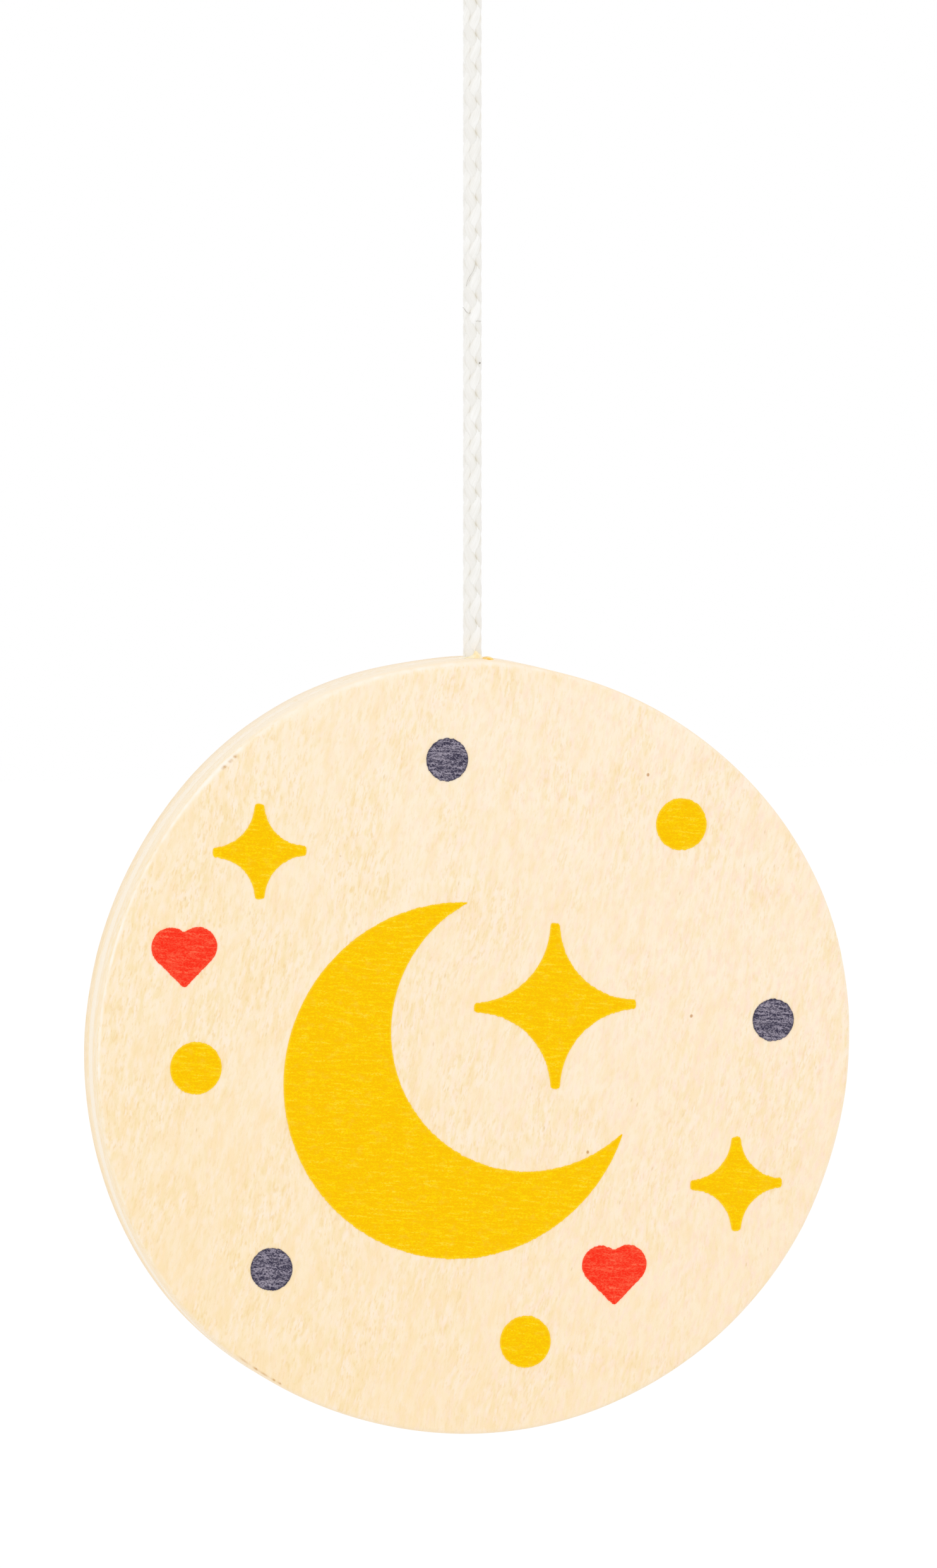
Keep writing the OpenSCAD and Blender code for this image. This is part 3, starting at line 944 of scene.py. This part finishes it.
def braid(line, side, start=0.0, scale=1.0):
    """Points and faces of a braid along a line, with the points' places on the strands and the painted shade
    at the seams between them.
    """
    ahead, left, up = moving_axes(line, side)
    steps = np.linalg.norm(np.diff(line, axis=0), axis=1)
    run = (start + np.concatenate([[0], np.cumsum(steps)]))[:, None]
    scale = np.broadcast_to(np.asarray(scale, float), len(line))[:, None]
    corner = full_turn(STRAND_SIDES)
    across = STRAND_W / 2 * np.cos(corner)
    faces = tube_faces(len(line), STRAND_SIDES)
    parts, places, seam_shades = [], [], []
    for hand in (1, -1):
        for k in range(STRANDS_EACH_WAY):
            turn = hand * 2 * math.pi * run / BRAID_PITCH + 2 * math.pi * k / STRANDS_EACH_WAY
            lift = BRAID_R + hand * BRAID_RELIEF * np.cos(STRANDS_EACH_WAY * turn)
            angle = (turn + BRAID_TURN + across * math.cos(BRAID_LEAN) / BRAID_R)[:, :, None]
            outward = np.cos(angle) * left[:, None] + np.sin(angle) * up[:, None]
            radius = scale * (lift + STRAND_T / 2 * np.sin(corner))
            slip = scale * across * -hand * math.sin(BRAID_LEAN)
            points = line[:, None] + radius[:, :, None] * outward + slip[:, :, None] * ahead[:, None]
            parts.append((points.reshape(-1, 3), faces))
            pattern = STRAND_SHIFT * k + HAND_SHIFT * hand
            on_strand = np.broadcast_arrays(run / MM, across / MM, pattern)
            places.append(np.stack(on_strand, 2).reshape(-1, 3))
            seam_shades.append(np.tile(np.abs(np.cos(corner)) ** SEAM_SHADE_FOCUS, len(line)))
    thinned = slice(None, None, FILLER_STEP)
    filler = sweep(line[thinned], side, FILLER_R * scale[thinned], FILLER_SIDES)
    parts.append(filler)
    places.append(np.zeros((len(filler[0]), 3)))
    # the filler inside the braid takes the seams' painted shade all over
    seam_shades.append(np.ones(len(filler[0])))
    return *merge(parts), np.vstack(places), np.concatenate(seam_shades)


def braided_piece(name, points, faces, places, seam_shades):
    """A piece of cord from what braid gives back."""
    piece = add_piece(name, points, faces, CORD_YARN)
    set_values(piece, "strand", places)
    set_values(piece, "seam", seam_shades)
    return piece


def rounded_end(to_end):
    """Share of the cord's radius at distances from the tip of its round end."""
    from_dome = 1 - np.clip(to_end / CORD_R, BLUNT, 1)
    return np.sqrt(1 - from_dome ** 2)


def build_knot():
    """The knot under the loop: turns of cord with both ends tucked in, round the loop's two legs."""
    low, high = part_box("loop_knot")
    turns = np.linspace(-KNOT_TUCK_TURNS, KNOT_TURNS + KNOT_TUCK_TURNS, KNOT_POINTS)
    tucked = smooth_step(np.maximum(-turns, turns - KNOT_TURNS) / KNOT_TUCK_TURNS)
    radius = high.x - CORD_R - KNOT_TUCK * tucked
    z = np.interp(turns, (0, KNOT_TURNS), (high.z - CORD_R, low.z + CORD_R))
    z += ((high.z + low.z) / 2 - z) * KNOT_SINK * tucked
    angle = 2 * math.pi * turns
    line = smooth_line(np.stack([radius * np.cos(angle), radius * np.sin(angle), z], 1), BRAID_STEP)
    count = np.arange(len(line))
    to_end = np.minimum(count, count[::-1]) * BRAID_STEP
    piece = braided_piece("knot_turns", *braid(line, (0, 0, 1), scale=rounded_end(to_end)))
    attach(piece, "loop")
    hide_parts("loop_knot")
    return piece


def build_loop(end):
    """The loop through the screw eye, with both legs tucked into the knot."""
    half = [(0, y, z) for y, z in HALF_LOOP]
    points = route([(0, -y, z) for _, y, z in half[:0:-1]] + half)
    tucked = [points[0] - (0, 0, TUCK), *points, points[-1] - (0, 0, TUCK)]
    line = smooth_line(tucked, BRAID_STEP)
    piece = braided_piece("loop_cord", *braid(line, (1, 0, 0)))
    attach(piece, "loop")
    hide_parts("hanging_loop")


def build_cord_end():
    """The cord's short end above the knot, with a heat-sealed tip."""
    line = smooth_line(route([END_TUCK, *END_ROUTE]), BRAID_STEP)
    piece = braided_piece("cord_end_braid", *braid(line, (0, 1, 0)))
    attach(piece, "loop")
    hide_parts("cord_end")
    ahead = unit(line[-1] - line[-2])
    turns = np.linspace(0, math.pi / 2, TIP_STEPS)[:-1]
    dome = line[-1] + ahead * (TIP_HEIGHT * np.sin(turns) - TIP_SINK)[:, None]
    uneven = 1 + TIP_UNEVEN * np.cos(TIP_LOBES * full_turn(TIP_SIDES))
    bulge = TIP_R * np.cos(turns)[:, None] * uneven
    tip = add_piece("sealed_tip", *sweep(dome, (0, 1, 0), bulge, TIP_SIDES), MELTED_CORD)
    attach(tip, "loop")
    return piece, tip


def build_run():
    """The hanging cord, from inside its knot down to the height of the cord_twist joint, and its foot from
    there down into the disc.
    """
    line = upright(RUN_TOP_Z + RUN_STUB, TWIST_Z)
    to_end = RUN_TOP_Z + CORD_R - line[:, 2]
    run = braided_piece("hanging_cord", *braid(line, (1, 0, 0), BRAID_START, rounded_end(to_end)))
    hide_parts("cord_run")
    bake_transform(run)
    length = RUN_TOP_Z + RUN_STUB - TWIST_Z
    foot_line = upright(TWIST_Z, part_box("cord_tail")[0].z)
    foot = braided_piece("cord_foot_braid", *braid(foot_line, (1, 0, 0), BRAID_START + length))
    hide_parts("cord_foot", "cord_tail")
    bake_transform(foot)


def build_lint():
    """Dust fibres that cling to the cord."""
    hairs = []
    share = np.linspace(0, 1, LINT_POINTS)
    for low, first, high, last, bow, thick in LINT:
        angle = np.radians(first + (last - first) * share)
        radius = YARN_R + thick * MM / 4
        z = MOUTH_Z + (low + (high - low) * share + bow * np.sin(2 * math.pi * share)) * MM
        line = np.stack([radius * np.cos(angle), radius * np.sin(angle), z], 1)
        hairs.append(sweep(line, (0, 0, 1), thick * MM / 2, LINT_SIDES))
    piece = add_piece("cord_lint", *merge(hairs), DUST)
    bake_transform(piece)


# Screw eye

def arc(centre, radius, start, turn, step):
    """Points on an arc in the plane of the eye."""
    count = max(2, round(abs(turn) * radius / step))
    angle = start + np.linspace(0, turn, count + 1)
    x = centre[0] + radius * np.cos(angle)
    z = centre[1] + radius * np.sin(angle)
    return np.stack([x, np.zeros(count + 1), z], 1)


def thread_radius(z, angle):
    """Radius of the threaded shank: a root that runs out into neck and point, with a ridge round it."""
    turn = (z / THREAD_PITCH - angle / (2 * math.pi)) % 1
    height, slope = THREAD_RIDGE
    ridge = np.clip(height - slope * np.abs(2 * turn - 1), 0, 1)
    grown = smooth_step(z / THREAD_PITCH)
    root = WIRE_R + (THREAD_ROOT_R - WIRE_R) * grown
    left = np.clip((THREAD_L + POINT_L - z) / POINT_L, 0, 1)
    root = POINT_R + (root - POINT_R) * left
    crest = POINT_R + (THREAD_R - POINT_R) * left ** CREST_TAPER
    return root + (crest - root) * ridge * grown


def build_screw_eye():
    """A wire that is threaded at one end and bent to an eye at the other."""
    ring_z = WIRE_Z + EYE_R
    bend = math.acos(BEND_R / (EYE_R + BEND_R))
    heights = np.arange(THREAD_L + POINT_L, -NECK_L - THREAD_STEP / 2, -THREAD_STEP)
    shank = np.stack([np.zeros(len(heights)), np.zeros(len(heights)), heights], 1)
    curve = arc((BEND_R, -NECK_L), BEND_R, math.pi, bend, EYE_STEP)
    ring = arc((0, ring_z), EYE_R, bend, EYE_GAP - 2 * math.pi, EYE_STEP)
    line = np.vstack([shank[:-1], curve, ring[1:]])
    angle = full_turn(EYE_SIDES)
    radius = np.full((len(line), EYE_SIDES), WIRE_R)
    threaded = heights[:-1] > 0
    radius[:len(threaded)][threaded] = thread_radius(heights[:-1][threaded][:, None], angle[None])
    from_end = np.linalg.norm(line - line[-1], axis=1)[:, None]
    near_end = (from_end < CUT_EASE) & (np.arange(len(line)) > len(line) / 2)[:, None]
    rounded = WIRE_R - CUT_EASE + np.sqrt(CUT_EASE ** 2 - (CUT_EASE - from_end).clip(0) ** 2)
    radius = np.where(near_end, rounded, radius)
    piece = add_piece("bent_screw_eye", *sweep(line, (0, 1, 0), radius, EYE_SIDES), BRASS)
    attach(piece, "hanger")
    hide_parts("screw_eye")


# Stage

def make_world():
    """A white room, which is white to the camera and lights the part a little less."""
    world = bpy.data.worlds.new("white_room")
    bpy.context.scene.world = world
    paint = Paint(world)
    level = paint.span(paint.seen(), 0, 1, SKY_LEVEL, 1)
    sky = paint.add("Background", {"Color": (1, 1, 1, 1), "Strength": level})
    paint.add("OutputWorld", {"Surface": sky.outputs[0]})


def make_floor():
    """A pale floor below the disc, which fades into the background and keeps the part's shadow."""
    z = DISC_Z - DISC_R - FLOOR_BELOW_DISC
    corners = [(x * FLOOR_HALF, y * FLOOR_HALF, z) for x, y in ((-1, -1), (1, -1), (1, 1), (-1, 1))]
    paint = new_paint("pale_floor")
    where = paint.add("TexCoord", {}).outputs["Object"]
    away = paint.add("VectorMath", {0: where}, operation="LENGTH").outputs["Value"]
    level = paint.times(paint.seen(), paint.span(away, *FLOOR_FADE, *FLOOR_GLOW))
    matt = paint.add("BsdfDiffuse", {"Color": (FLOOR_SHADE, FLOOR_SHADE, FLOOR_SHADE, 1)})
    glow = paint.add("Emission", {"Strength": level})
    both = paint.add("AddShader", {0: matt.outputs[0], 1: glow.outputs[0]})
    paint.add("OutputMaterial", {"Surface": both.outputs[0]})
    floor = add_piece("floor", corners, [[0, 1, 2, 3]], paint.block)


def make_lamps():
    """Soft lamps on both sides, in front."""
    target = Vector((0, 0, DISC_Z))
    for name, (place, level) in LAMPS.items():
        lamp = bpy.data.lights.new(name, "AREA")
        lamp.size = LAMP_SIZE
        lamp.energy = level * math.pi ** 2 * place.length_squared
        holder = bpy.data.objects.new(name, lamp)
        holder.location = target + place
        holder.rotation_mode = "QUATERNION"
        holder.rotation_quaternion = (-place).to_track_quat("-Z", "Y")
        bpy.context.scene.collection.objects.link(holder)


def make_camera():
    """A camera at the photo's angle, with the disc and the lower part of the cord in view."""
    data = bpy.data.cameras.new("camera")
    data.lens = data.sensor_width * CAMERA_DISTANCE / SEEN_HEIGHT
    camera = bpy.data.objects.new("camera", data)
    back = Vector((
        math.sin(CAMERA_AZIMUTH) * math.cos(CAMERA_ELEVATION),
        -math.cos(CAMERA_AZIMUTH) * math.cos(CAMERA_ELEVATION),
        math.sin(CAMERA_ELEVATION),
    ))
    camera.location = Vector((AIM_ASIDE, 0, DISC_Z + AIM_ABOVE_DISC)) + back * CAMERA_DISTANCE
    camera.rotation_mode = "QUATERNION"
    camera.rotation_quaternion = (-back).to_track_quat("-Z", "Y")
    bpy.context.scene.collection.objects.link(camera)
    bpy.context.scene.camera = camera


make_camera()
make_world()
make_lamps()
make_floor()
build_screw_eye()
knot = build_knot()
build_loop(build_cord_end())
build_run()
build_lint()
build_plies()
build_hole_glue()
build_glue_drop()
for node in YELLOW_PRINTS:
    build_print(node, INK_YELLOW)
build_print("navy_dot_prints", INK_NAVY)
build_print("heart_prints", INK_RED)
bpy.context.scene.view_settings.view_transform = "Standard"
